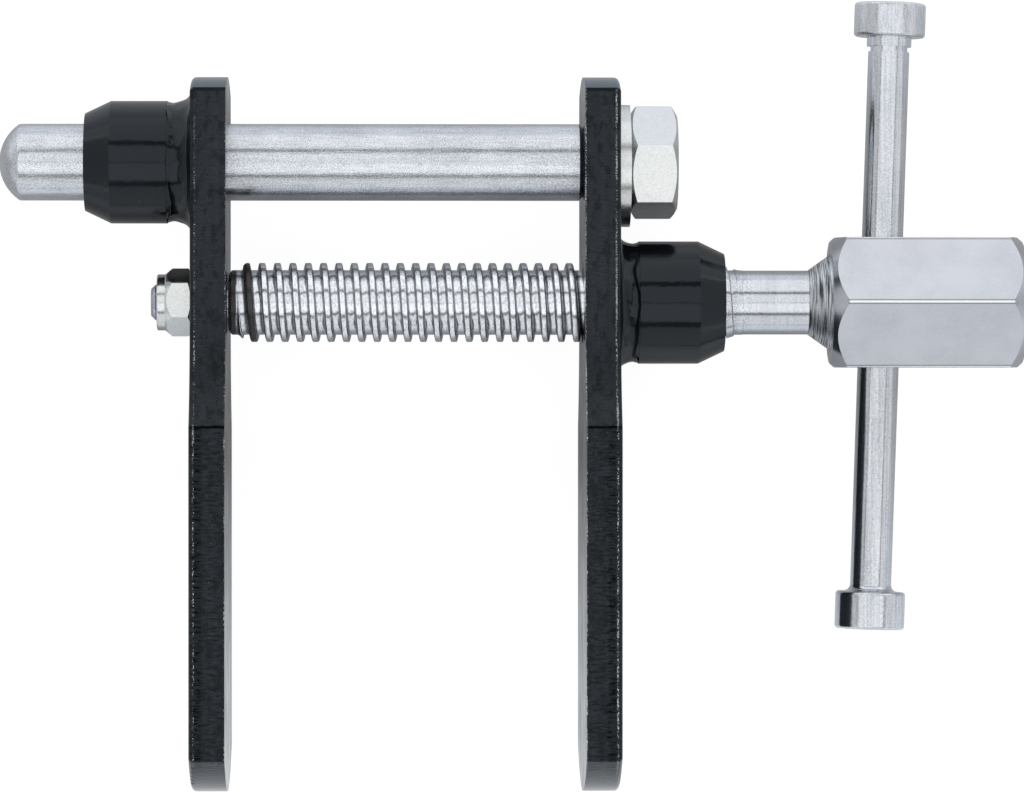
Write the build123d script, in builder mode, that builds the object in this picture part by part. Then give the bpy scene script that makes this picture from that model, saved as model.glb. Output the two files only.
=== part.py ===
"""Brake piston rewind tool, in millimetres.

Two plate jaws face each other along X. The fixed jaw carries the guide rod and the spindle bush. The
moving jaw slides on the rod and is pushed or pulled by the spindle, which a sliding tommy bar turns.
The tool lies on the long edges of its plates, so Z is up, X runs along the spindle from the moving jaw
to the hexagon head, and Y runs along the plates with the guide rod at the upper end. The origin is at
the middle of the underside of the whole tool.
"""

import os
from math import cos, radians, sin, tan

from build123d import *

# Setting of the tool: distance between the inner faces of the jaws
jaw_gap = 60.0

# Jaw plates, measured from the spindle axis towards the guide rod and towards the pads
plate_t = 6.0
plate_above = 38.1
plate_below = 82.7
upper_width = 32.0
pad_width = 45.0
crown_height = 2.6
flare_start = -3.0
pad_start = -21.0
pad_arc_height = 6.4
outline_corner_r = 0.8
outer_edge_r = 0.8

# Guide rod with its threaded stud, washer and nut
rod_offset = 23.73
rod_d = 13.0
rod_length = 98.7
rod_dome_height = 3.5
rod_dome_edge_r = 1.0
rod_shoulder_chamfer = 0.6
rod_stud_d = 10.0
stud_chamfer = 0.8
rod_stud_hole_clearance = 0.15
washer_d = 20.7
washer_bore_d = 11.2
washer_t = 2.0
washer_drop = 0.57
washer_edge_r = 0.3
rod_nut_af = 17.0
rod_nut_height = 8.0
rod_nut_turn = 15.2
rod_nut_chamfer_depth = 0.55
nut_chamfer_angle = 30.0
nut_countersink = 0.7

# Bushes welded outside the plates. A weld lies in a rebate, a little below its bush at the far end.
bush_d = 20.75
bush_chamfer_length = 4.4
bush_chamfer_depth = 2.1
bush_bore_chamfer = 0.5
guide_bush_length = 18.15
spindle_bush_length = 18.0
guide_weld_length = 4.3
guide_weld_leg = 1.9
spindle_weld_length = 3.5
spindle_weld_leg = 1.3
weld_rebate = 0.6
weld_dip = 0.2
guide_clearance = 0.05
guide_hole_clearance = 0.2

# Spindle, from the stud beyond the moving jaw to the hexagon head
stud_d = 6.0
stud_reach = 13.1
stud_hole_clearance = 0.08
stud_end_chamfer = 0.7
end_float = 0.1
shoulder_d = 9.8
shoulder_chamfer_length = 0.6
thread_d = 13.4
thread_root_d = 10.95
thread_lead_in = 1.6
thread_run_out = 2.4
threaded_length = 87.0
thread_clearance = 0.06
fixed_plate_hole_clearance = 0.3
neck_d = 10.85
neck_length = 11.1
cone_d = 16.3
cone_length = 3.8
hex_af = 22.0
hex_length = 32.6
hex_turn = 30.0
hex_corner_flat = 0.3
hex_neck_chamfer_depth = 0.63
hex_neck_chamfer_angle = 48.5
hex_end_chamfer_depth = 0.63
hex_end_chamfer_angle = 48.5

# Lock nut on the spindle's stud
lock_nut_af = 10.0
lock_nut_hex_height = 4.5
lock_nut_height = 5.9
lock_nut_collar_d = 9.5
lock_nut_turn = -3.5
lock_nut_chamfer_depth = 0.25
lock_nut_collar_chamfer_angle = 50.0
lock_nut_rim_r = 0.3
insert_d = 8.2
insert_t = 1.3

# Tommy bar, measured along its own axis from the spindle axis
bar_d = 7.0
bar_hole_d = 8.0
bar_hole_from_hex = 8.6
bar_hole_chamfer = 0.3
bar_lean = 1.96
bar_above = 50.85
bar_below = 55.4
bar_head_d = 11.85
bar_head_length = 6.4
bar_head_fillet = 1.2
bar_head_edge_r = 0.6
cap_d = 12.1
cap_length = 5.8
cap_floor = 1.6
cap_edge_r = 0.6
serration_d = 7.6
serration_length = 1.6
groove_d = 6.3
groove_length = 0.9

# Sizes closer than this are taken as one when an edge or corner is picked
same_size = 0.01

# Places that follow from the sizes
hex_start = end_float + threaded_length + neck_length + cone_length
hex_end = hex_start + hex_length
rod_end = rod_length - jaw_gap
moving_face_x = (rod_end - hex_end) / 2
fixed_face_x = moving_face_x + jaw_gap
moving_outer_x = moving_face_x - plate_t
fixed_outer_x = fixed_face_x + plate_t
lean = radians(bar_lean)
cap_corner_r = cap_d / 2 - cap_edge_r
bar_top = (bar_above - cap_edge_r) * cos(lean) + cap_corner_r * sin(lean) + cap_edge_r
spindle_y = (plate_below - bar_top) / 2
rod_y = spindle_y + rod_offset
axis_z = pad_width / 2
spindle_axis = Axis((0, spindle_y, axis_z), (1, 0, 0))
rod_axis = Axis((0, rod_y, axis_z), (1, 0, 0))


def across(x, y):
    """A plane square to X, whose own x is Y and whose own y is Z, at a place on an axis of the tool."""
    return Plane(origin=(x, y, axis_z), x_dir=(0, 1, 0), z_dir=(1, 0, 0))


def along(x, y, direction=1):
    """The plane of a turned profile: its own x runs along the axis from x, its own y is the radius."""
    return Plane(origin=(x, y, axis_z), x_dir=(direction, 0, 0), z_dir=(0, 0, direction))


def jaw_outline():
    """A narrow upper part that flares in a hollow arc to the pad, with a bowed end and a low crown."""
    half_top = upper_width / 2
    half_pad = pad_width / 2
    shoulder = plate_above - crown_height
    pad_corner = pad_arc_height - plate_below
    with BuildSketch() as outline:
        with BuildLine():
            ThreePointArc((shoulder, -half_top), (plate_above, 0), (shoulder, half_top))
            Line((shoulder, half_top), (flare_start, half_top))
            TangentArc((flare_start, half_top), (pad_start, half_pad), tangent=(-1, 0))
            Line((pad_start, half_pad), (pad_corner, half_pad))
            ThreePointArc((pad_corner, half_pad), (-plate_below, 0), (pad_corner, -half_pad))
            Line((pad_corner, -half_pad), (pad_start, -half_pad))
            TangentArc((flare_start, -half_top), (pad_start, -half_pad), tangent=(-1, 0))
            Line((flare_start, -half_top), (shoulder, -half_top))
        make_face()
        corners = outline.vertices().filter_by(lambda v: abs(v.X - flare_start) > same_size)
        fillet(corners, radius=outline_corner_r)
    return outline.sketch


def bush_profile(length, bore_r, mouth_r, weld_length):
    """Half section of a welded bush, from the plate outwards, with a long chamfer at its free end."""
    outer_r = bush_d / 2
    seat_r = outer_r - weld_rebate
    with BuildSketch() as profile:
        with BuildLine():
            Polyline(
                (0, bore_r),
                (0, seat_r),
                (weld_length, seat_r),
                (weld_length, outer_r),
                (length - bush_chamfer_length, outer_r),
                (length, outer_r - bush_chamfer_depth),
                (length, mouth_r),
                (length - mouth_r + bore_r, bore_r),
                close=True,
            )
        make_face()
    return profile.sketch


def weld_profile(length, leg):
    """Half section of the hollow weld in the corner between a bush and its plate."""
    outer_r = bush_d / 2
    seat_r = outer_r - weld_rebate
    toe = (0, outer_r + leg)
    end = (length, outer_r - weld_dip)
    with BuildSketch() as profile:
        with BuildLine():
            Polyline(toe, (0, seat_r), (length, seat_r), end)
            ThreePointArc(end, (length / 3, outer_r), toe)
        make_face()
    return profile.sketch


def hexagon_limit(af, height, start_depth, start_angle, end_depth, end_angle):
    """Half section inside which a hexagon is kept, so that both its ends are chamfered by a cone.

    A depth is how far inside the flats a chamfer starts, and its angle is measured from the end face.
    """
    corner_r = af / 2 / cos(radians(30)) + start_depth
    start_r = af / 2 - start_depth
    end_r = af / 2 - end_depth
    start_rise = (corner_r - start_r) * tan(radians(start_angle))
    end_rise = (corner_r - end_r) * tan(radians(end_angle))
    with BuildSketch() as profile:
        with BuildLine():
            Polyline(
                (0, 0),
                (0, start_r),
                (start_rise, corner_r),
                (height - end_rise, corner_r),
                (height, end_r),
                (height, 0),
                close=True,
            )
        make_face()
    return profile.sketch


def nut_limit(af, height, depth):
    """The limit of a nut, with the same chamfer at both faces."""
    return hexagon_limit(af, height, depth, nut_chamfer_angle, depth, nut_chamfer_angle)


# Moving jaw: the plate
with BuildPart() as moving_plate:
    with BuildSketch(across(moving_face_x, spindle_y)):
        add(jaw_outline())
    extrude(amount=-plate_t)
    outer_face = moving_plate.faces().sort_by(Axis.X)[0]
    fillet(outer_face.outer_wire().edges(), radius=outer_edge_r)
    with BuildSketch(across(moving_face_x, spindle_y)):
        Circle(stud_d / 2 + stud_hole_clearance)
        with Locations((rod_offset, 0)):
            Circle(rod_d / 2 + guide_hole_clearance)
    extrude(amount=-plate_t, mode=Mode.SUBTRACT)

# Moving jaw: the bush that slides on the guide rod, and its weld
with BuildPart() as guide_bush:
    with BuildSketch(along(moving_outer_x, rod_y, -1)):
        bore_r = rod_d / 2 + guide_clearance
        add(bush_profile(guide_bush_length, bore_r, bore_r + bush_bore_chamfer, guide_weld_length))
    revolve(axis=rod_axis)

with BuildPart() as guide_bush_weld:
    with BuildSketch(along(moving_outer_x, rod_y, -1)):
        add(weld_profile(guide_weld_length, guide_weld_leg))
    revolve(axis=rod_axis)

# Fixed jaw: the plate
with BuildPart() as fixed_plate:
    with BuildSketch(across(fixed_face_x, spindle_y)):
        add(jaw_outline())
    extrude(amount=plate_t)
    outer_face = fixed_plate.faces().sort_by(Axis.X)[-1]
    fillet(outer_face.outer_wire().edges(), radius=outer_edge_r)
    with BuildSketch(across(fixed_face_x, spindle_y)):
        Circle(thread_d / 2 + fixed_plate_hole_clearance)
        with Locations((rod_offset, 0)):
            Circle(rod_stud_d / 2 + rod_stud_hole_clearance)
    extrude(amount=plate_t, mode=Mode.SUBTRACT)

# Fixed jaw: the bush that holds the spindle's thread, and its weld
with BuildPart() as spindle_bush:
    with BuildSketch(along(fixed_outer_x, spindle_y)):
        bore_r = thread_d / 2 + thread_clearance
        add(bush_profile(spindle_bush_length, bore_r, bore_r + bush_bore_chamfer, spindle_weld_length))
    revolve(axis=spindle_axis)

with BuildPart() as spindle_bush_weld:
    with BuildSketch(along(fixed_outer_x, spindle_y)):
        add(weld_profile(spindle_weld_length, spindle_weld_leg))
    revolve(axis=spindle_axis)

# Guide rod: a domed bar, shouldered on the fixed plate, with a stud through plate, washer and nut
rod_tip_x = fixed_face_x - rod_length
stud_length = plate_t + washer_t + rod_nut_height
with BuildPart() as guide_rod:
    with BuildSketch(along(rod_tip_x, rod_y)) as rod_section:
        with BuildLine():
            dome_r = rod_d / 2
            sphere_r = (dome_r**2 + rod_dome_height**2) / (2 * rod_dome_height)
            RadiusArc((0, 0), (rod_dome_height, dome_r), sphere_r)
            Polyline(
                (rod_dome_height, dome_r),
                (rod_length - rod_shoulder_chamfer, dome_r),
                (rod_length, dome_r - rod_shoulder_chamfer),
                (rod_length, rod_stud_d / 2),
                (rod_length + stud_length - stud_chamfer, rod_stud_d / 2),
                (rod_length + stud_length, rod_stud_d / 2 - stud_chamfer),
                (rod_length + stud_length, 0),
                (0, 0),
            )
        make_face()
        dome_edge = rod_section.vertices().filter_by(lambda v: abs(v.X - rod_dome_height) < same_size)
        fillet(dome_edge, radius=rod_dome_edge_r)
    revolve(axis=rod_axis)

with BuildPart() as guide_rod_washer:
    with BuildSketch(across(fixed_outer_x, rod_y)):
        with Locations((-washer_drop, 0)):
            Circle(washer_d / 2)
            Circle(washer_bore_d / 2, mode=Mode.SUBTRACT)
    extrude(amount=washer_t)
    fillet(guide_rod_washer.edges().filter_by(GeomType.CIRCLE).sort_by(Axis.X)[-1], radius=washer_edge_r)

rod_nut_x = fixed_outer_x + washer_t
with BuildPart() as guide_rod_nut:
    with BuildSketch(across(rod_nut_x, rod_y)):
        RegularPolygon(rod_nut_af / 2, 6, major_radius=False, rotation=rod_nut_turn)
    extrude(amount=rod_nut_height)
    with BuildSketch(along(rod_nut_x, rod_y)):
        add(nut_limit(rod_nut_af, rod_nut_height, rod_nut_chamfer_depth))
    revolve(axis=rod_axis, mode=Mode.INTERSECT)
    with BuildSketch(along(rod_nut_x, rod_y)):
        bore = rod_stud_d / 2
        with BuildLine():
            Polyline(
                (0, 0),
                (0, bore + nut_countersink),
                (nut_countersink, bore),
                (rod_nut_height - nut_countersink, bore),
                (rod_nut_height, bore + nut_countersink),
                (rod_nut_height, 0),
                close=True,
            )
        make_face()
    revolve(axis=rod_axis, mode=Mode.SUBTRACT)

# Spindle: one turned piece from the stud to the cone, with its hexagon head and cross hole. Its thread
# is a plain length of the thread's outer size, with a lead-in and a run-out.
shoulder_x = moving_face_x + end_float
shank_length = threaded_length + neck_length
head_x = moving_face_x + hex_start
with BuildPart() as head:
    with BuildSketch(across(head_x, spindle_y)):
        RegularPolygon(hex_af / 2, 6, major_radius=False, rotation=hex_turn)
    extrude(amount=hex_length)
    chamfer(head.edges().filter_by(Axis.X), length=hex_corner_flat)
    with BuildSketch(along(head_x, spindle_y)):
        neck_end = (hex_neck_chamfer_depth, hex_neck_chamfer_angle)
        free_end = (hex_end_chamfer_depth, hex_end_chamfer_angle)
        add(hexagon_limit(hex_af, hex_length, *neck_end, *free_end))
    revolve(axis=spindle_axis, mode=Mode.INTERSECT)

with BuildPart() as spindle:
    with BuildSketch(along(shoulder_x, spindle_y)):
        with BuildLine():
            Polyline(
                (-stud_reach, 0),
                (-stud_reach, stud_d / 2 - stud_end_chamfer),
                (-stud_reach + stud_end_chamfer, stud_d / 2),
                (0, stud_d / 2),
                (0, shoulder_d / 2),
                (shoulder_chamfer_length, thread_root_d / 2),
                (thread_lead_in, thread_root_d / 2),
                (thread_lead_in + (thread_d - thread_root_d) / 2, thread_d / 2),
                (threaded_length - thread_run_out, thread_d / 2),
                (threaded_length, neck_d / 2),
                (shank_length, neck_d / 2),
                (shank_length + cone_length, cone_d / 2),
                (shank_length + cone_length, 0),
                close=True,
            )
        make_face()
    revolve(axis=spindle_axis)
    add(head.part)
    with BuildSketch(Plane(origin=(head_x + bar_hole_from_hex, spindle_y, axis_z), z_dir=(0, 1, 0))):
        Circle(bar_hole_d / 2)
    extrude(amount=hex_af, both=True, mode=Mode.SUBTRACT)
    hole_mouths = spindle.edges().filter_by(GeomType.CIRCLE)
    hole_mouths = hole_mouths.filter_by(lambda e: abs(e.radius - bar_hole_d / 2) < same_size)
    chamfer(hole_mouths, length=bar_hole_chamfer)

# Lock nut with its nylon insert, on the stud outside the moving plate
lock_nut_x = moving_outer_x - end_float
with BuildPart() as lock_nut:
    with BuildSketch(across(lock_nut_x, spindle_y)):
        RegularPolygon(lock_nut_af / 2, 6, major_radius=False, rotation=lock_nut_turn)
    extrude(amount=-lock_nut_hex_height)
    with BuildSketch(along(lock_nut_x, spindle_y, -1)):
        plate_end = (lock_nut_chamfer_depth, nut_chamfer_angle)
        collar_end = (lock_nut_chamfer_depth, lock_nut_collar_chamfer_angle)
        add(hexagon_limit(lock_nut_af, lock_nut_hex_height, *plate_end, *collar_end))
    revolve(axis=spindle_axis, mode=Mode.INTERSECT)
    with BuildSketch(across(lock_nut_x - lock_nut_hex_height, spindle_y)):
        Circle(lock_nut_collar_d / 2)
    extrude(amount=-(lock_nut_height - lock_nut_hex_height))
    rim = lock_nut.edges().filter_by(GeomType.CIRCLE).sort_by(Axis.X)[0]
    fillet(rim, radius=lock_nut_rim_r)
    with BuildSketch(across(lock_nut_x, spindle_y)):
        Circle(stud_d / 2)
    extrude(amount=-lock_nut_height, mode=Mode.SUBTRACT)
    with BuildSketch(across(lock_nut_x - lock_nut_height, spindle_y)):
        Circle(insert_d / 2)
    extrude(amount=insert_t, mode=Mode.SUBTRACT)

with BuildPart() as lock_nut_insert:
    with BuildSketch(across(lock_nut_x - lock_nut_height, spindle_y)):
        Circle(insert_d / 2)
        Circle(stud_d / 2, mode=Mode.SUBTRACT)
    extrude(amount=insert_t)

# Tommy bar with its lower head forged on, leaning in its hole by its clearance, and its pressed cap
bar_direction = (sin(lean), cos(lean), 0)
bar_middle = (head_x + bar_hole_from_hex, spindle_y, axis_z)
bar_plane = Plane(origin=bar_middle, x_dir=bar_direction, z_dir=(0, 0, 1))
bar_axis = Axis(bar_middle, bar_direction)
seat_end = bar_above - cap_floor
with BuildPart() as tommy_bar:
    with BuildSketch(bar_plane) as bar_section:
        head_end = bar_head_length - bar_below
        cap_start = bar_above - cap_length
        groove_start = cap_start - serration_length - groove_length
        with BuildLine():
            Polyline(
                (-bar_below, 0),
                (-bar_below, bar_head_d / 2),
                (head_end, bar_head_d / 2),
                (head_end, bar_d / 2),
                (groove_start, bar_d / 2),
                (groove_start, groove_d / 2),
                (groove_start + groove_length, groove_d / 2),
                (groove_start + groove_length, serration_d / 2),
                (cap_start, serration_d / 2),
                (cap_start, bar_d / 2),
                (seat_end, bar_d / 2),
                (seat_end, 0),
                close=True,
            )
        make_face()
    revolve(axis=bar_axis)
    rings = tommy_bar.edges().filter_by(GeomType.CIRCLE)
    head_rings = rings.filter_by(lambda e: abs(e.radius - bar_head_d / 2) < same_size)
    fillet(head_rings, radius=bar_head_edge_r)
    neck_ring = tommy_bar.edges().filter_by(GeomType.CIRCLE).sort_by(bar_axis)
    neck_ring = neck_ring.filter_by(lambda e: abs(e.radius - bar_d / 2) < same_size)[0]
    fillet(neck_ring, radius=bar_head_fillet)

with BuildPart() as tommy_bar_cap:
    with BuildSketch(bar_plane):
        with BuildLine():
            Polyline(
                (cap_start, bar_d / 2),
                (cap_start, cap_d / 2),
                (bar_above, cap_d / 2),
                (bar_above, 0),
                (seat_end, 0),
                (seat_end, bar_d / 2),
                close=True,
            )
        make_face()
    revolve(axis=bar_axis)
    cap_rings = tommy_bar_cap.edges().filter_by(GeomType.CIRCLE)
    cap_rings = cap_rings.filter_by(lambda e: abs(e.radius - cap_d / 2) < same_size)
    fillet(cap_rings, radius=cap_edge_r)

pieces = {
    "fixed_plate": fixed_plate,
    "spindle_bush": spindle_bush,
    "spindle_bush_weld": spindle_bush_weld,
    "guide_rod": guide_rod,
    "guide_rod_washer": guide_rod_washer,
    "guide_rod_nut": guide_rod_nut,
    "moving_plate": moving_plate,
    "guide_bush": guide_bush,
    "guide_bush_weld": guide_bush_weld,
    "spindle": spindle,
    "lock_nut": lock_nut,
    "lock_nut_insert": lock_nut_insert,
    "tommy_bar": tommy_bar,
    "tommy_bar_cap": tommy_bar_cap,
}
os.makedirs("parts", exist_ok=True)
for name, piece in pieces.items():
    piece.part.label = name
    export_step(piece.part, f"parts/{name}.step")
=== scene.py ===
"""Looks of the brake piston rewind tool: materials, thread, weld beads, floor, light and camera.

Lengths are in metres, in the frame of the solids. The tool lies on the floor, on the long edges
of its jaws.
"""

import math

import bmesh
import bpy
from mathutils import Matrix, Vector, noise


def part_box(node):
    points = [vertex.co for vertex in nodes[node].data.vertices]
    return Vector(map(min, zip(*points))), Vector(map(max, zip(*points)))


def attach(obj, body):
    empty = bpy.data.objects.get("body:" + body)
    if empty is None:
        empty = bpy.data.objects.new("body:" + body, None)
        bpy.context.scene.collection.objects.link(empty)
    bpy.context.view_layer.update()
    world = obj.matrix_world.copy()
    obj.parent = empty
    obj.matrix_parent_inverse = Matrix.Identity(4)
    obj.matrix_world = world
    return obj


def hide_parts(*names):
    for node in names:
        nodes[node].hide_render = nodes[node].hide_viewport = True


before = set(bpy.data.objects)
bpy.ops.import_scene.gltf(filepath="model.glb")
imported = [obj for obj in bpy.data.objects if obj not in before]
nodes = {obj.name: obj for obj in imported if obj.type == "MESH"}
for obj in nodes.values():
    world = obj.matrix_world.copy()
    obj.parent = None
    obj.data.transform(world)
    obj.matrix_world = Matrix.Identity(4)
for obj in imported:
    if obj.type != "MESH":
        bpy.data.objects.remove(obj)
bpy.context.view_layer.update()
MM = 0.001

# Places read from the solids
moving_low, moving_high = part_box("moving_plate")
fixed_low, fixed_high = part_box("fixed_plate")
guide_low, guide_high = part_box("guide_bush")
screw_low, screw_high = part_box("spindle_bush")
rod_y = (guide_low.y + guide_high.y) / 2
spindle_y = (screw_low.y + screw_high.y) / 2
axis_z = (screw_low.z + screw_high.z) / 2
bush_r = (guide_high.y - guide_low.y) / 2

# Places on the bushes, the spindle and the plates that no box gives
rebate_depth = 0.59 * MM
cone_start = 50.25 * MM
head_start = 54.05 * MM
head_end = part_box("spindle")[1].x
crease_y = -4.95 * MM
crown_y = spindle_y + 35.5 * MM

# The spindle's right-hand thread. On the +Y side, a crest lies crest_phase of a pitch from the origin.
pitch = 2.6 * MM
crest_phase = 0.768
crest_r = 6.7 * MM
root_r = 5.475 * MM
neck_r = 5.425 * MM
plain_start = -47.26 * MM
ridge_start = -46.165 * MM
ridge_end = 38.485 * MM
plain_end = 39.15 * MM
lead_in = 1.2 * MM
run_out = 4.0 * MM


class Graph:
    """A material and its nodes, with a short call for each kind of node used here."""

    def __init__(self, name):
        self.material = bpy.data.materials.new(name)
        self.material.use_nodes = True
        self.tree = self.material.node_tree
        self.tree.nodes.clear()
        coordinates = self.node("ShaderNodeTexCoord")
        self.place = coordinates.outputs["Object"]
        self.normal = coordinates.outputs["Normal"]
        split = self.node("ShaderNodeSeparateXYZ")
        self.put(split.inputs[0], self.place)
        self.x, self.y, self.z = split.outputs

    def node(self, kind, **settings):
        made = self.tree.nodes.new(kind)
        for key, value in settings.items():
            setattr(made, key, value)
        return made

    def put(self, socket, value):
        if isinstance(value, bpy.types.NodeSocket):
            self.tree.links.new(value, socket)
        else:
            socket.default_value = value

    def math(self, operation, a, b=0.0, clamp=False):
        made = self.node("ShaderNodeMath", operation=operation, use_clamp=clamp)
        self.put(made.inputs[0], a)
        self.put(made.inputs[1], b)
        return made.outputs[0]

    def times(self, a, b):
        return self.math("MULTIPLY", a, b)

    def plus(self, a, b):
        return self.math("ADD", a, b)

    def step(self, value, low, high, out_low=0.0, out_high=1.0):
        """A smooth step of value from low to high."""
        made = self.node("ShaderNodeMapRange", interpolation_type="SMOOTHSTEP")
        for socket, number in zip(made.inputs, (value, low, high, out_low, out_high)):
            self.put(socket, number)
        return made.outputs[0]

    def band(self, value, low, high, soft):
        """One between low and high, fading to nothing within soft of each."""
        rise = self.step(value, low - soft, low + soft)
        fall = self.step(value, high - soft, high + soft, 1.0, 0.0)
        return self.times(rise, fall)

    def noise(self, size, detail=2.0, rough=0.5, stretch=(1, 1, 1), shift=0.0, warp=0.0):
        """Noise with grains of about size metres, longer along an axis by its stretch."""
        scaled = self.node("ShaderNodeVectorMath", operation="MULTIPLY")
        self.put(scaled.inputs[0], self.place)
        self.put(scaled.inputs[1], [1 / (size * s) if s else 0.0 for s in stretch])
        moved = self.node("ShaderNodeVectorMath", operation="ADD")
        self.put(moved.inputs[0], scaled.outputs[0])
        self.put(moved.inputs[1], (shift, shift * 1.7, shift * 0.6))
        made = self.node("ShaderNodeTexNoise")
        self.put(made.inputs["Vector"], moved.outputs[0])
        self.put(made.inputs["Scale"], 1.0)
        self.put(made.inputs["Detail"], detail)
        self.put(made.inputs["Roughness"], rough)
        self.put(made.inputs["Distortion"], warp)
        return made.outputs[0]

    def mix(self, factor, a, b):
        made = self.node("ShaderNodeMix", data_type="RGBA")
        self.put(made.inputs["Factor"], factor)
        for socket, value in ((made.inputs[6], a), (made.inputs[7], b)):
            self.put(socket, value if isinstance(value, bpy.types.NodeSocket) else (*value, 1.0))
        return made.outputs[2]

    def radius(self, centre_y):
        """Distance from the line along X at centre_y and at the height of the spindle."""
        dy = self.math("SUBTRACT", self.y, centre_y)
        dz = self.math("SUBTRACT", self.z, axis_z)
        return self.math("SQRT", self.plus(self.times(dy, dy), self.times(dz, dz)))

    def finish(self, colour, roughness, metallic, height, depth, **sockets):
        """Joins the shader: height runs from 0 to 1, and depth is its length in metres."""
        shader = self.node("ShaderNodeBsdfPrincipled")
        self.put(shader.inputs["Base Color"], colour)
        self.put(shader.inputs["Roughness"], roughness)
        self.put(shader.inputs["Metallic"], metallic)
        for key, value in sockets.items():
            self.put(shader.inputs[key.replace("_", " ")], value)
        bump = self.node("ShaderNodeBump")
        self.put(bump.inputs["Height"], height)
        self.put(bump.inputs["Strength"], 1.0)
        self.put(bump.inputs["Distance"], depth)
        self.put(shader.inputs["Normal"], bump.outputs[0])
        output = self.node("ShaderNodeOutputMaterial")
        self.put(output.inputs["Surface"], shader.outputs[0])
        return self.material


def black_paint(name, plate_x=None, wear=0.0, upper_wear=0.0):
    """Thick glossy black paint, and on a plate also its sheared narrow faces, its chipped edges with
    painted highlight dots along them, and painted shade in a crease and on the crown.

    plate_x is the inner and outer side of the plate. The wear is of its edges, and of the painted highlight
    dots along them, below and above the spindle.
    """
    g = Graph(name)
    peel = g.noise(1.7 * MM, 2.0, 0.5)
    dimples = g.noise(0.45 * MM, 3.0, 0.6, shift=4.0)
    height = g.plus(g.times(peel, 0.75), g.times(dimples, 0.25))
    cloud = g.noise(9 * MM, 3.0, 0.55, shift=2.0)
    colour = g.mix(cloud, (0.0015, 0.002, 0.003), (0.006, 0.0075, 0.01))
    roughness = g.step(cloud, 0.3, 0.75, 0.08, 0.17)
    dust = g.noise(0.2 * MM, 1.0, 0.5, shift=21.0)
    specks_and_highlight = g.step(dust, 0.78, 0.82, 0.0, 0.4)
    shade_and_grime = 0.0
    if plate_x is not None:
        inner, outer = plate_x
        out = 1 if outer > inner else -1

        # One on the narrow faces that look up or down, and zero on the flat faces
        facing = g.node("ShaderNodeSeparateXYZ")
        g.put(facing.inputs[0], g.normal)
        side = g.step(g.math("ABSOLUTE", g.math("SUBTRACT", g.z, axis_z)), 14 * MM, 15.8 * MM)
        side = g.times(side, g.step(g.math("ABSOLUTE", facing.outputs[2]), 0.3, 0.6))

        # Furrows and pale streaks of the shears
        sheared = g.noise(0.7 * MM, 4.0, 0.65, stretch=(6.0, 0.45, 1.0), shift=7.0)
        below = g.step(g.y, spindle_y - 2 * MM, spindle_y + 6 * MM, 1.15, 0.5)
        height = g.plus(height, g.times(g.times(sheared, below), g.times(side, 2.2)))
        streaks = g.noise(0.5 * MM, 4.0, 0.7, stretch=(3.0, 0.5, 1.0), shift=11.0)
        bands = g.noise(1.5 * MM, 2.0, 0.5, stretch=(0.8, 30, 1), shift=15.0)
        pale = g.step(g.plus(g.times(streaks, 0.75), g.times(bands, 0.25)), 0.49, 0.58, 0.0, 0.8)
        colour = g.mix(g.times(pale, side), colour, (0.019, 0.023, 0.028))
        furrows = g.times(g.times(g.step(streaks, 0.5, 0.62), below), g.times(side, 0.45))

        # A crease across the face, darkened with painted shade, and beyond it wrinkles and a duller third
        wavy_y = g.plus(g.y, g.times(g.noise(1.1 * MM, 2.0, 0.6, shift=51.0), 0.5 * MM))
        shaded_crease = g.times(g.band(wavy_y, crease_y - 0.25 * MM, crease_y + 0.25 * MM, 0.2 * MM), side)
        beyond = g.step(g.y, crease_y - 0.55 * MM, crease_y - 0.05 * MM, 1.0, 0.2)
        wrinkles = g.noise(0.5 * MM, 4.0, 0.7, stretch=(3.5, 0.7, 1), shift=53.0)
        wrinkles = g.times(g.step(wrinkles, 0.48, 0.6), g.times(beyond, side))
        height = g.plus(height, g.plus(g.times(shaded_crease, -2.0), g.times(wrinkles, -0.8)))
        third = sorted((outer - out * 0.9 * MM, outer - out * 2.3 * MM))
        third = g.band(g.plus(g.x, g.times(wrinkles, 0.3 * MM)), *third, 0.35 * MM)
        third = g.times(third, g.times(beyond, side))

        # Near-black, nearly metallic paint: painted shade in the crease and on the crown, where it takes
        # the place of the crown's reflection; darker in the furrows, the wrinkles and the duller third, and
        # where the paint is dirty
        smears = g.step(g.noise(1.7 * MM, 4.0, 0.65, stretch=(0.8, 1.7, 1), shift=57.0), 0.47, 0.62)
        # Painted shade on the crown, the top of the plate
        crown_shade = g.step(g.y, crown_y - 0.9 * MM, crown_y + 0.1 * MM, 0.0, 0.8)
        shade_and_grime = g.math("MAXIMUM", shaded_crease, g.plus(g.times(wrinkles, 0.55), g.times(third, 0.4)), clamp=True)
        for dull in (furrows, crown_shade, g.times(smears, g.times(side, 0.42))):
            shade_and_grime = g.math("MAXIMUM", shade_and_grime, dull)
        colour = g.mix(shade_and_grime, colour, (0.0004, 0.0005, 0.0007))

        # Chips along both edges, with painted highlight dots along the line where each edge rounds off
        chips = g.noise(0.15 * MM, 2.0, 0.5, stretch=(1, 1.4, 1), shift=9.0)
        patches = g.noise(6 * MM, 2.0, 0.6, shift=3.0)
        worn = g.plus(g.times(chips, 0.75), g.times(patches, 0.32))
        worn = g.plus(worn, g.step(g.y, 20 * MM, 23 * MM, wear, upper_wear))
        chips_and_highlight = g.times(g.step(worn, 0.56, 0.62), side)
        lines = 0.0
        for at, reach in ((inner + out * 0.06 * MM, 0.17 * MM), (outer - out * 0.8 * MM, 0.2 * MM)):
            off = g.math("ABSOLUTE", g.math("SUBTRACT", g.x, at))
            lines = g.plus(lines, g.step(off, reach * 0.4, reach, 1.0, 0.0))
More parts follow.
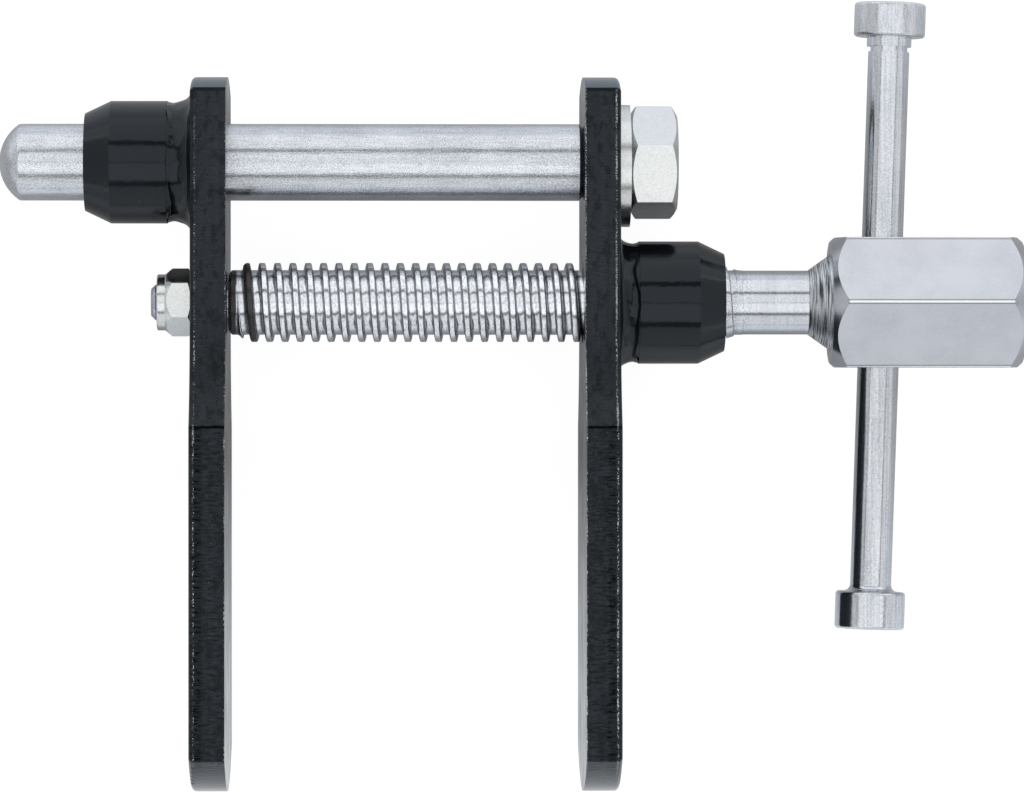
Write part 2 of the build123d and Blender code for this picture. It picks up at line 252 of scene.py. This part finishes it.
        # Dust specks, chips and painted highlight dots, pale and metallic
        specks_and_highlight = g.math("ADD", specks_and_highlight, g.times(chips_and_highlight, lines), clamp=True)
    colour = g.mix(specks_and_highlight, colour, (0.58, 0.6, 0.63))
    roughness = g.plus(roughness, g.times(specks_and_highlight, 0.2))
    # Nearly metallic where the painted shade and the grime lie, so that they reflect little
    metal = g.math("MAXIMUM", g.times(specks_and_highlight, 0.7), g.times(shade_and_grime, 0.95))
    gloss = {"Specular_IOR_Level": 0.4, "Specular_Tint": (0.78, 0.9, 1.0, 1.0)}
    return g.finish(colour, roughness, metal, height, 0.032 * MM, **gloss)


def zinc(name, grain, tones, rough, streak=(1, 1, 1), streak_size=0.35, depth=0.014, lines=0.35,
         faces=(), faces_from=None):
    """Bright zinc plate: small grains, faint clouds, and lines where the bar was drawn or turned.

    Each of faces is a length of Y with the share and tint of a tone painted over it, such as the painted
    highlight and the painted shade on faces of a nut, on the side of faces_from towards +X. Grain, streak
    and depth are in millimetres.
    """
    g = Graph(name)
    clouds = g.noise(11 * MM, 3.0, 0.6, shift=1.0)
    grains = g.noise(grain * MM, 3.0, 0.65, shift=5.0)
    streaks = g.noise(streak_size * MM, 3.0, 0.6, stretch=streak, shift=8.0)
    speckle = g.noise(grain * 0.8 * MM, 4.0, 0.8, shift=23.0)
    tone = g.plus(g.times(clouds, 0.15), g.plus(g.times(speckle, 0.85 - lines), g.times(streaks, lines)))
    tone = g.step(tone, 0.38, 0.6)
    colour = g.mix(tone, *tones)
    for face_low, face_high, amount, tint in faces:
        face = g.times(g.band(g.y, face_low, face_high, 0.1 * MM), amount)
        if faces_from is not None:
            face = g.times(face, g.step(g.x, faces_from - 0.1 * MM, faces_from + 0.1 * MM))
        colour = g.mix(face, colour, tint)
    roughness = g.step(grains, 0.3, 0.7, *rough)
    height = g.plus(g.times(grains, 0.55), g.times(streaks, 0.45))
    return g.finish(colour, roughness, 1.0, height, depth * MM)


def spindle_steel():
    """The spindle: turned rings on shank and cone, grease at the first turn, painted shade in a ring beside
    the plate and at the roots and crest edges of the thread, a painted highlight and a painted shade line
    along the hexagon's corners, cloudy zinc on the hexagon.
    """
    g = Graph("spindle_zinc")
    head = g.step(g.x, head_start - 0.15 * MM, head_start + 0.15 * MM)
    shank = g.math("SUBTRACT", 1.0, head)
    cone = g.band(g.x, cone_start + 0.05 * MM, head_start - 0.05 * MM, 0.1 * MM)
    rings = g.noise(0.15 * MM, 2.0, 0.6, stretch=(1, 60, 60), shift=8.0)
    wide = g.noise(1.1 * MM, 2.0, 0.6, stretch=(1, 12, 12), shift=3.0)
    clouds = g.noise(9 * MM, 4.0, 0.6, shift=1.0)
    grains = g.noise(0.25 * MM, 3.0, 0.65, shift=5.0)
    marks = g.noise(0.5 * MM, 3.0, 0.6, stretch=(9, 1, 1), shift=2.5)
    turned = g.plus(g.times(rings, 0.1), g.plus(g.times(wide, 0.25), g.times(grains, 0.65)))
    flat = g.plus(g.times(clouds, 0.6), g.plus(g.times(grains, 0.35), g.times(marks, 0.05)))
    tone = g.step(g.plus(g.times(turned, shank), g.times(flat, head)), 0.36, 0.62)
    colour = g.mix(tone, (0.44, 0.465, 0.505), (0.76, 0.79, 0.85))
    colour = g.mix(head, colour, g.mix(tone, (0.53, 0.555, 0.61), (0.6, 0.63, 0.69)))
    warm = g.noise(14 * MM, 2.0, 0.5, shift=12.0)
    colour = g.mix(g.times(g.step(warm, 0.5, 0.75), g.times(head, 0.25)), colour, (0.69, 0.66, 0.71))
    cuts = g.noise(0.16 * MM, 3.0, 0.65, stretch=(1, 45, 45), shift=27.0)
    colour = g.mix(g.times(cone, g.step(cuts, 0.42, 0.5, 1.0, 0.0)), colour, (0.09, 0.1, 0.115))
    colour = g.mix(g.times(cone, g.step(cuts, 0.5, 0.56)), colour, (0.93, 0.95, 1.0))
    around = g.math("ARCTAN2", g.math("SUBTRACT", g.z, axis_z), g.math("SUBTRACT", g.y, spindle_y))
    along = g.math("SUBTRACT", g.x, g.times(around, pitch / (2 * math.pi)))
    wavy = g.times(g.noise(2.4 * MM, 2.0, 0.5, shift=17.0), 0.4 * MM)
    first = moving_high.x
    # Painted shade: a dark ring beside the plate, where the shoulder's chamfer looks dark
    collar_shade = g.band(g.plus(g.x, wavy), first + 0.8 * MM, first + 1.7 * MM, 0.15 * MM)
    grease = g.band(g.plus(along, wavy), first + 2.8 * MM, first + 4.0 * MM, 0.2 * MM)
    r = g.radius(spindle_y)
    threaded = g.band(g.x, ridge_start + 0.6 * MM, ridge_end - 2.5 * MM, 0.5 * MM)
    turns = g.math("SUBTRACT", g.times(along, 1 / pitch), crest_phase)
    from_crest = g.times(g.math("PINGPONG", turns, 0.5), pitch)
    ragged = g.plus(from_crest, g.times(g.noise(0.9 * MM, 3.0, 0.7, shift=41.0), 0.3 * MM))
    # Painted shade along the rounded edges of the crests, and at the roots of the thread
    edge = g.times(g.band(ragged, 0.56 * MM, 0.84 * MM, 0.1 * MM), 0.5)
    root_shade = g.step(r, root_r - 0.1 * MM, root_r + 0.35 * MM, 0.06, 0.0)
    swirls = g.step(g.noise(0.6 * MM, 3.0, 0.65, stretch=(1, 2, 2), warp=1.5, shift=61.0), 0.42, 0.58)
    colour = g.mix(g.times(g.plus(0.25, g.times(swirls, 0.6)), threaded), colour, (0.93, 0.95, 1.0))
    neck = g.band(g.x, plain_end + 1.5 * MM, cone_start - 0.05 * MM, 0.2 * MM)
    colour = g.mix(g.times(neck, 0.55), colour, (0.66, 0.69, 0.74))
    # Grease, and the painted shade of the ring, the roots and the crest edges, all near black
    grease_and_shade = g.math("MAXIMUM", g.math("MAXIMUM", collar_shade, grease), g.times(g.plus(root_shade, edge), threaded))
    colour = g.mix(g.times(grease_and_shade, 0.95), colour, (0.016, 0.015, 0.014))
    # Painted highlight along each corner of the hexagon, and a painted shade line beside it
    apart = g.math("PINGPONG", g.times(g.math("SUBTRACT", around, math.pi / 2), 3 / math.pi), 0.5)
    from_corner = g.times(g.times(apart, math.pi / 3), r)
    on_head = g.band(g.x, head_start + 2.25 * MM, head_end - 2.35 * MM, 0.2 * MM)
    corner_highlight = g.times(g.step(from_corner, 0.13 * MM, 0.2 * MM, 1.0, 0.0), on_head)
    shaded_crease = g.times(g.band(from_corner, 0.22 * MM, 0.42 * MM, 0.05 * MM), on_head)
    colour = g.mix(g.times(shaded_crease, 0.6), colour, (0.1, 0.11, 0.12))
    colour = g.mix(corner_highlight, colour, (0.97, 0.98, 1.0))
    roughness = g.plus(g.step(grains, 0.3, 0.7, 0.12, 0.2), g.times(grease_and_shade, 0.12))
    roughness = g.plus(roughness, g.plus(g.times(corner_highlight, 0.4), g.times(cone, 0.22)))
    lathe = g.plus(g.times(rings, 0.25), g.times(wide, 0.4))
    lathe = g.times(lathe, g.math("SUBTRACT", shank, g.times(neck, 0.8)))
    height = g.plus(g.times(grains, 0.35), lathe)
    height = g.plus(height, g.times(g.times(cuts, 1.6), cone))
    stud_pitch = g.math("PINGPONG", g.x, 0.5 * MM)
    stud = g.step(g.x, moving_low.x - 5.0 * MM, moving_low.x - 4.6 * MM, 1.0, 0.0)
    height = g.plus(height, g.times(g.times(stud_pitch, 14 / MM), stud))
    metal = g.math("SUBTRACT", 1.0, g.times(grease_and_shade, 0.25))
    return g.finish(colour, roughness, metal, height, 0.013 * MM)


def nylon():
    """The blue insert of the lock nut."""
    g = Graph("blue_nylon")
    clouds = g.noise(1.5 * MM, 2.0, 0.5)
    colour = g.mix(clouds, (0.02, 0.09, 0.42), (0.05, 0.17, 0.62))
    return g.finish(colour, 0.34, 0.0, clouds, 0.02 * MM, Subsurface_Weight=0.1)


def dress(name, material):
    """Gives a node of the model its material."""
    data = nodes[name].data
    data.materials.clear()
    data.materials.append(material)


def mesh_piece(name, points, faces, material, body):
    """A new smooth-shaded piece that rides on a body."""
    data = bpy.data.meshes.new(name)
    data.from_pydata(points, [], faces)
    data.validate()
    for face in data.polygons:
        face.use_smooth = True
    piece = bpy.data.objects.new(name, data)
    bpy.context.scene.collection.objects.link(piece)
    data.materials.append(material)
    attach(piece, body)
    return piece


def weld_bead(name, node, plate_x, out, centre_y, length, leg, retreats, seed, material, body):
    """The bead between a plate and its bush, thick with paint: hollow, with an uneven edge in the rebate.

    out is the direction of the bush from the plate, 1 or -1 along X. Each retreat is an angle, its half
    width and how far the bead stays short of the step there, in degrees and millimetres. It leaves a
    dark crease.
    """
    around, across = 320, 26
    points = []
    for i in range(around):
        angle = 2 * math.pi * i / around
        spot = Vector((math.cos(angle), math.sin(angle), seed))
        end = length - 0.03 * MM + noise.noise(spot * 2.6) * 0.3 * MM + noise.noise(spot * 9) * 0.08 * MM
        for centre, spread, depth in retreats:
            off = (math.degrees(angle) - centre + 180) % 360 - 180
            end -= depth * MM * math.exp(-((off / spread) ** 2))
        toe = leg * (1 + 0.14 * noise.noise(spot * 1.9))
        for j in range(across + 1):
            t = j / across
            lump = noise.noise(Vector((spot.x * 4.5, spot.y * 4.5, seed + t * 2.2))) * 0.13 * MM
            lump += noise.noise(Vector((spot.x * 13, spot.y * 13, seed + t * 3))) * 0.03 * MM
            rise = toe * (1 - t) ** 6 - 0.36 * MM * math.exp(-(((t - 0.74) / 0.28) ** 2))
            rise += lump * math.sin(math.pi * min(1.0, t * 1.25)) ** 0.5 if t < 0.8 else lump
            along = end * t
            if along > length - 0.03 * MM:
                rise = max(rise, 0.03 * MM)
            r = bush_r + rise
            points.append((plate_x + out * along, centre_y + r * spot.x, axis_z + r * spot.y))
        r = bush_r - rebate_depth
        points.append((plate_x + out * end, centre_y + r * spot.x, axis_z + r * spot.y))
    faces = []
    row = across + 2
    for i in range(around):
        n = (i + 1) % around
        for j in range(row - 1):
            ring = (i * row + j, i * row + j + 1, n * row + j + 1, n * row + j)
            faces.append(ring[::-1] if out > 0 else ring)
    bead = mesh_piece(name, points, faces, material, body)
    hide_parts(node)
    return bead


def threaded_spindle(material):
    """Stands for the spindle: its solid's mesh, with the thread in place of the plain length of the shank.

    The profile of the ridge is given in millimetres along the spindle and in shares of the depth.
    """
    shape = bmesh.new()
    shape.from_mesh(nodes["spindle"].data)
    shape.transform(nodes["spindle"].matrix_world)
    inside = [f for f in shape.faces if plain_start < f.calc_center_median().x < plain_end - 0.01 * MM]
    bmesh.ops.delete(shape, geom=inside, context="FACES")
    for edge in shape.edges:
        edge.smooth = len(edge.link_faces) < 2 or edge.calc_face_angle() < math.radians(25)
    half_profile = ((0.3, 1.0), (0.43, 0.98), (0.51, 0.9), (0.58, 0.68), (0.7, 0.06), (0.8, 0.0))
    profile = [(-w, h) for w, h in reversed(half_profile)] + [(0.0, 1.0), *half_profile, (1.3, 0.0)]
    around = 72
    first_turn = math.floor(plain_start / pitch) - 1
    steps = around * (math.ceil(plain_end / pitch) + 2 - first_turn)
    depth = crest_r - root_r
    rows = []
    for i in range(steps + 1):
        turn = first_turn + i / around
        angle = 2 * math.pi * turn
        row = []
        for across, rise in profile:
            x = (turn + crest_phase) * pitch + across * MM
            fade_in = max(0.0, (x - ridge_start) / lead_in)
            fade_out = max(0.0, (ridge_end - x) / run_out)
            grown = depth * min(rise, fade_in, fade_out)
            worn = noise.noise(Vector((x * 900, math.cos(angle) * 5, math.sin(angle) * 5)))
            worn *= 0.02 * MM * rise
            r = root_r + max(0.0, grown + worn if grown > 0.9 * depth else grown)
            if x > plain_end:
                r = neck_r
            x = min(max(x, plain_start), plain_end)
            place = (x, spindle_y + r * math.cos(angle), axis_z + r * math.sin(angle))
            row.append(shape.verts.new(place))
        rows.append(row)
    for i in range(steps):
        for j in range(len(profile) - 1):
            shape.faces.new((rows[i][j], rows[i][j + 1], rows[i + 1][j + 1], rows[i + 1][j]))
        if i + around <= steps - 1:
            shape.faces.new((rows[i][-1], rows[i + around][0], rows[i + around + 1][0], rows[i + 1][-1]))
    bmesh.ops.dissolve_degenerate(shape, dist=1e-7, edges=shape.edges)
    for face in shape.faces:
        face.smooth = True
    data = bpy.data.meshes.new("threaded_spindle")
    shape.to_mesh(data)
    shape.free()
    data.materials.clear()
    data.materials.append(material)
    for face in data.polygons:
        face.material_index = 0
    piece = bpy.data.objects.new("threaded_spindle", data)
    bpy.context.scene.collection.objects.link(piece)
    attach(piece, "spindle")
    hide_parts("spindle")
    return piece


# Materials on the solids
paint = black_paint("paint_bushes")
dress("guide_bush", paint)
dress("spindle_bush", paint)
dress("guide_bush_weld", paint)
dress("spindle_bush_weld", paint)
moving_x = (moving_high.x, moving_low.x)
fixed_x = (fixed_low.x, fixed_high.x)
dress("moving_plate", black_paint("paint_moving_plate", moving_x, -0.05, -0.09))
dress("fixed_plate", black_paint("paint_fixed_plate", fixed_x))
rod_tones = ((0.4, 0.425, 0.46), (0.8, 0.835, 0.89))
nut_tones = ((0.66, 0.685, 0.695), (0.76, 0.78, 0.765))
bar_tones = ((0.5, 0.53, 0.57), (0.78, 0.81, 0.86))
rod_looks = {"streak": (14, 1, 1), "depth": 0.034, "lines": 0.15}
dress("guide_rod", zinc("zinc_rod", 0.24, rod_tones, (0.12, 0.2), **rod_looks))
dress("guide_rod_washer", zinc("zinc_washer", 0.5, nut_tones, (0.18, 0.28)))
# Painted highlight on the upper faces of the guide rod's nut, and painted shade on its lower faces
nut_upper_highlight = (rod_y + 2.4 * MM, rod_y + 15 * MM, 0.5, (0.84, 0.88, 0.94))
nut_lower_shade = (rod_y - 15 * MM, rod_y - 6.9 * MM, 0.5, (0.16, 0.165, 0.175))
nut_looks = {"depth": 0.016, "faces": (nut_upper_highlight, nut_lower_shade)}
dress("guide_rod_nut", zinc("zinc_nut", 0.6, nut_tones, (0.16, 0.24), **nut_looks))
# One face of the lock nut darkened nearly to black
dark_lock_nut_face = (spindle_y + 3.4 * MM, spindle_y + 9 * MM, 0.9, (0.02, 0.023, 0.027))
lock_nut_looks = {"faces": (dark_lock_nut_face,), "faces_from": moving_low.x - 4.4 * MM}
dress("lock_nut", zinc("zinc_lock_nut", 0.4, nut_tones, (0.14, 0.24), **lock_nut_looks))
dress("lock_nut_insert", nylon())
steel = spindle_steel()
dress("spindle", steel)
threaded_spindle(steel)
bar_looks = {"streak": (1, 50, 1), "streak_size": 0.4}
dress("tommy_bar", zinc("zinc_bar", 0.35, bar_tones, (0.12, 0.2), **bar_looks))
cap_looks = {"streak": (1, 8, 1), "streak_size": 0.3}
dress("tommy_bar_cap", zinc("zinc_cap", 0.3, bar_tones, (0.2, 0.3), **cap_looks))

# Weld beads: place, direction and centre, then length, leg, retreats and seed
guide_retreats = ((140, 22, 0.75), (58, 15, 0.5), (250, 30, 0.5))
guide_weld = (moving_low.x, -1, rod_y, 4.3 * MM, 1.9 * MM, guide_retreats, 3.1)
weld_bead("guide_weld_bead", "guide_bush_weld", *guide_weld, paint, "moving_jaw")
screw_retreats = ((146, 20, 0.5), (59, 13, 0.45), (290, 26, 0.5))
screw_weld = (fixed_high.x, 1, spindle_y, 3.5 * MM, 1.3 * MM, screw_retreats, 8.4)
weld_bead("spindle_weld_bead", "spindle_bush_weld", *screw_weld, paint, "fixed_jaw")


# Camera of the photograph: one metre above the tool, its image 1024 pixels wide
focal_pixels = 5782.0
image_width = 1024
sensor_width = 36.0
camera_data = bpy.data.cameras.new("camera")
camera_data.sensor_width = sensor_width
camera_data.lens = focal_pixels * sensor_width / image_width
camera_data.clip_start = 0.05
camera = bpy.data.objects.new("camera", camera_data)
bpy.context.scene.collection.objects.link(camera)
eye = Vector((-20.55, 0.0, 1002.5)) * MM
aim = Vector((0.13, 0.0, 22.5)) * MM
back = (eye - aim).normalized()
right = Vector((0, 1, 0)).cross(back).normalized()
turn = Matrix((right, back.cross(right), back)).transposed().to_4x4()
camera.matrix_world = Matrix.Translation(eye) @ turn
bpy.context.scene.camera = camera


def pale_ground():
    """White to the camera, with a faint soft shadow.

    A reflection sees a paler sheet with a painted shadow: it glows little along the line under the spindle
    and more beside it. All other light meets a plain white sheet.
    """
    g = Graph("ground")
    path = g.node("ShaderNodeLightPath").outputs
    mirrored = g.math("MAXIMUM", path["Is Glossy Ray"], path["Is Transmission Ray"])
    # Painted shadow in reflections: the sheet glows little near the line under the spindle
    glow_with_painted_shadow = g.node("ShaderNodeMapRange")
    beside = g.math("ABSOLUTE", g.math("SUBTRACT", g.y, 0.02))
    for socket, number in zip(glow_with_painted_shadow.inputs, (beside, 0.03, 0.07, 0.04, 0.45)):
        g.put(socket, number)
    white = (1.0, 1.0, 1.0, 1.0)
    cool = (0.88, 0.93, 1.0, 1.0)
    sheets = (
        (None, 0.8, 0.0, white),
        (mirrored, 0.5, glow_with_painted_shadow.outputs[0], cool),
        (path["Is Camera Ray"], 0.25, 0.9, white),
    )
    result = None
    for seen, albedo, glow, tint in sheets:
        plain = g.node("ShaderNodeBsdfDiffuse")
        g.put(plain.inputs["Color"], (albedo, albedo, albedo, 1.0))
        light = g.node("ShaderNodeEmission")
        g.put(light.inputs["Color"], tint)
        g.put(light.inputs["Strength"], glow)
        sheet = g.node("ShaderNodeAddShader")
        g.put(sheet.inputs[0], plain.outputs[0])
        g.put(sheet.inputs[1], light.outputs[0])
        if result is not None:
            blend = g.node("ShaderNodeMixShader")
            for socket, value in zip(blend.inputs, (seen, result.outputs[0], sheet.outputs[0])):
                g.put(socket, value)
            sheet = blend
        result = sheet
    output = g.node("ShaderNodeOutputMaterial")
    g.put(output.inputs["Surface"], result.outputs[0])
    return g.material


half = 4.0
floor_data = bpy.data.meshes.new("floor")
floor_corners = [(-half, -half, 0), (half, -half, 0), (half, half, 0), (-half, half, 0)]
floor_data.from_pydata(floor_corners, [], [(0, 1, 2, 3)])
floor_data.materials.append(pale_ground())
floor = bpy.data.objects.new("floor", floor_data)
bpy.context.scene.collection.objects.link(floor)


def softbox(name, centre, facing, length, width, brightness):
    """A long soft lamp, seen in the metal as a band of that brightness."""
    lamp = bpy.data.lights.new(name, "AREA")
    lamp.shape = "RECTANGLE"
    lamp.size = length
    lamp.size_y = width
    lamp.energy = brightness * math.pi * length * width
    holder = bpy.data.objects.new(name, lamp)
    away = -Vector(facing).normalized()
    side = Vector((0, 1, 0)) if abs(away.x) > 0.9 else Vector((1, 0, 0))
    turned = Matrix((side, away.cross(side), away)).transposed().to_4x4()
    holder.matrix_world = Matrix.Translation(Vector(centre)) @ turned
    holder.visible_camera = False
    bpy.context.scene.collection.objects.link(holder)


# Each lamp: its name, centre, direction, length, width and brightness
lamps = (
    ("key", (0, -0.625, 1.6), (0, 0, -1), 3.0, 1.128, 0.96),
    ("top", (0, 0.447, 1.6), (0, 0, -1), 3.0, 0.927, 0.84),
    ("upper_side", (0, 1.6, 1.0), (0, -1, 0), 4.0, 1.96, 0.9),
    ("lower_side", (0, -1.6, 0.755), (0, 1, 0), 4.0, 1.41, 0.66),
    ("right_side", (1.7, 0, 0.8), (-1, 0, 0), 3.0, 1.5, 0.6),
    ("left_side", (-1.7, 0, 0.8), (1, 0, 0), 3.0, 1.5, 0.45),
)
for lamp in lamps:
    softbox(*lamp)

# The room: dim to the tool and white to the camera
world = bpy.data.worlds.new("studio")
world.use_nodes = True
tree = world.node_tree
tree.nodes.clear()
path = tree.nodes.new("ShaderNodeLightPath")
room = tree.nodes.new("ShaderNodeBackground")
room.inputs["Strength"].default_value = 0.2
white = tree.nodes.new("ShaderNodeBackground")
white.inputs["Strength"].default_value = 1.0
for shade in (room, white):
    shade.inputs["Color"].default_value = (1, 1, 1, 1)
blend = tree.nodes.new("ShaderNodeMixShader")
tree.links.new(path.outputs["Is Camera Ray"], blend.inputs[0])
tree.links.new(room.outputs[0], blend.inputs[1])
tree.links.new(white.outputs[0], blend.inputs[2])
world_output = tree.nodes.new("ShaderNodeOutputWorld")
tree.links.new(blend.outputs[0], world_output.inputs["Surface"])
bpy.context.scene.world = world
bpy.context.scene.view_settings.view_transform = "Standard"
